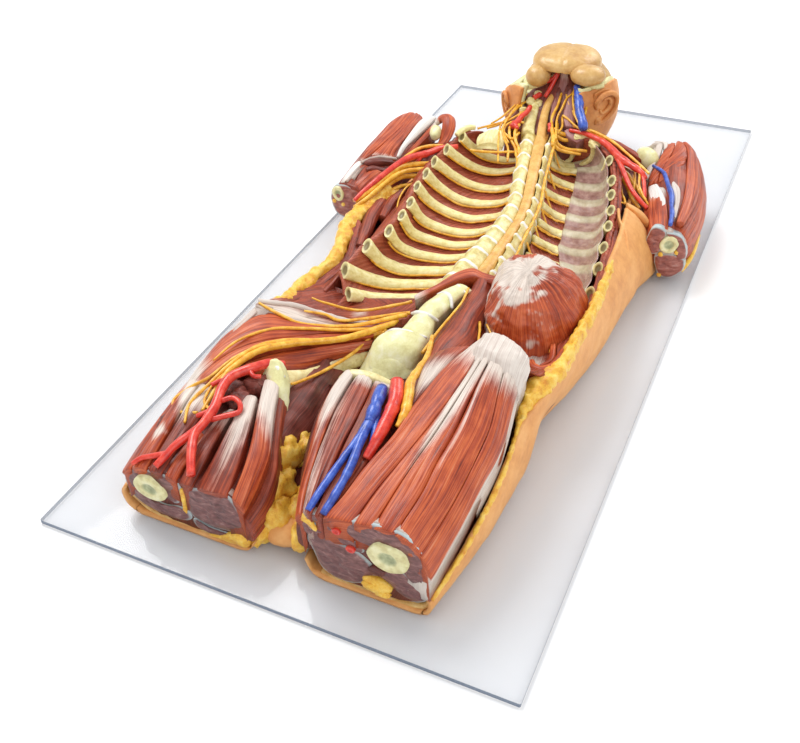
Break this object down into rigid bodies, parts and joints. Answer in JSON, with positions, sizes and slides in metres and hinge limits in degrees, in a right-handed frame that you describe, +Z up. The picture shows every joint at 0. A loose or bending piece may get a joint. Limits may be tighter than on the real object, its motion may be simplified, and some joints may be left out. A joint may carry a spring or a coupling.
{
  "type": "torso anatomy model",
  "caption": "Life-size replica of a dissected torso lying on its back on a clear board: open chest, ribs, nerves, vessels, cut arms and thighs.",
  "frame": {"origin": "centre of the board's underside", "axes": "+Y towards the head, +Z up from the board, +X towards the body's left side"},
  "size_m": [0.5, 1.104, 0.175],
  "materials": {
    "clear_acrylic": "polished clear sheet",
    "skin": "satin full-colour print",
    "fat": "lumpy satin print",
    "muscle": "fibrous satin print",
    "bone": "satin print",
    "cartilage": "satin print",
    "nerve_tissue": "satin print",
    "nerve": "satin print",
    "artery": "glossy print",
    "vein": "glossy print",
    "membrane": "thin satin film"
  },
  "bodies": {
    "base": {"base_board": "clear_acrylic"},
    "specimen": {"adductors_left": "muscle", "adductors_right": "muscle", "arm_muscles_left": "muscle", "arm_muscles_right": "muscle", "axillary_arteries": "artery", "back_muscles": "muscle", "brachial_plexus": "nerve", "brain": "nerve_tissue", "diaphragm": "muscle", "femoral_artery_left": "artery", "femoral_artery_right": "artery", "femoral_vein_left": "vein", "femur_left": "bone", "femur_right": "bone", "head_skin": "skin", "hip_bone_left": "bone", "hip_bone_right": "bone", "humerus_left": "bone", "humerus_right": "bone", "iliacus_left": "muscle", "iliacus_right": "muscle", "intercostal_muscles_left": "muscle", "intercostal_muscles_right": "muscle", "intercostal_nerves": "nerve", "intervertebral_discs": "cartilage", "lumbar_vertebrae": "bone", "lumbosacral_nerves": "nerve", "neck_muscles": "muscle", "pleura_left": "membrane", "psoas_left": "muscle", "rib_left_1": "bone", "rib_left_10": "bone", "rib_left_2": "bone", "rib_left_3": "bone", "rib_left_4": "bone", "rib_left_5": "bone", "rib_left_6": "bone", "rib_left_7": "bone", "rib_left_8": "bone", "rib_left_9": "bone", "rib_right_1": "bone", "rib_right_10": "bone", "rib_right_11": "bone", "rib_right_2": "bone", "rib_right_3": "bone", "rib_right_4": "bone", "rib_right_5": "bone", "rib_right_6": "bone", "rib_right_7": "bone", "rib_right_8": "bone", "rib_right_9": "bone", "sacrum": "bone", "skull": "bone", "spinal_cord": "nerve_tissue", "thigh_muscles_left": "muscle", "thigh_muscles_right": "muscle", "thoracic_vertebrae": "bone", "torso_fat": "fat", "torso_skin": "skin"}
  },
  "joints": [
    {"name": "specimen_lift", "type": "slide", "parent": "base", "child": "specimen", "axis": [0, 0, 1], "range_m": [0, 0.25]}
  ]
}
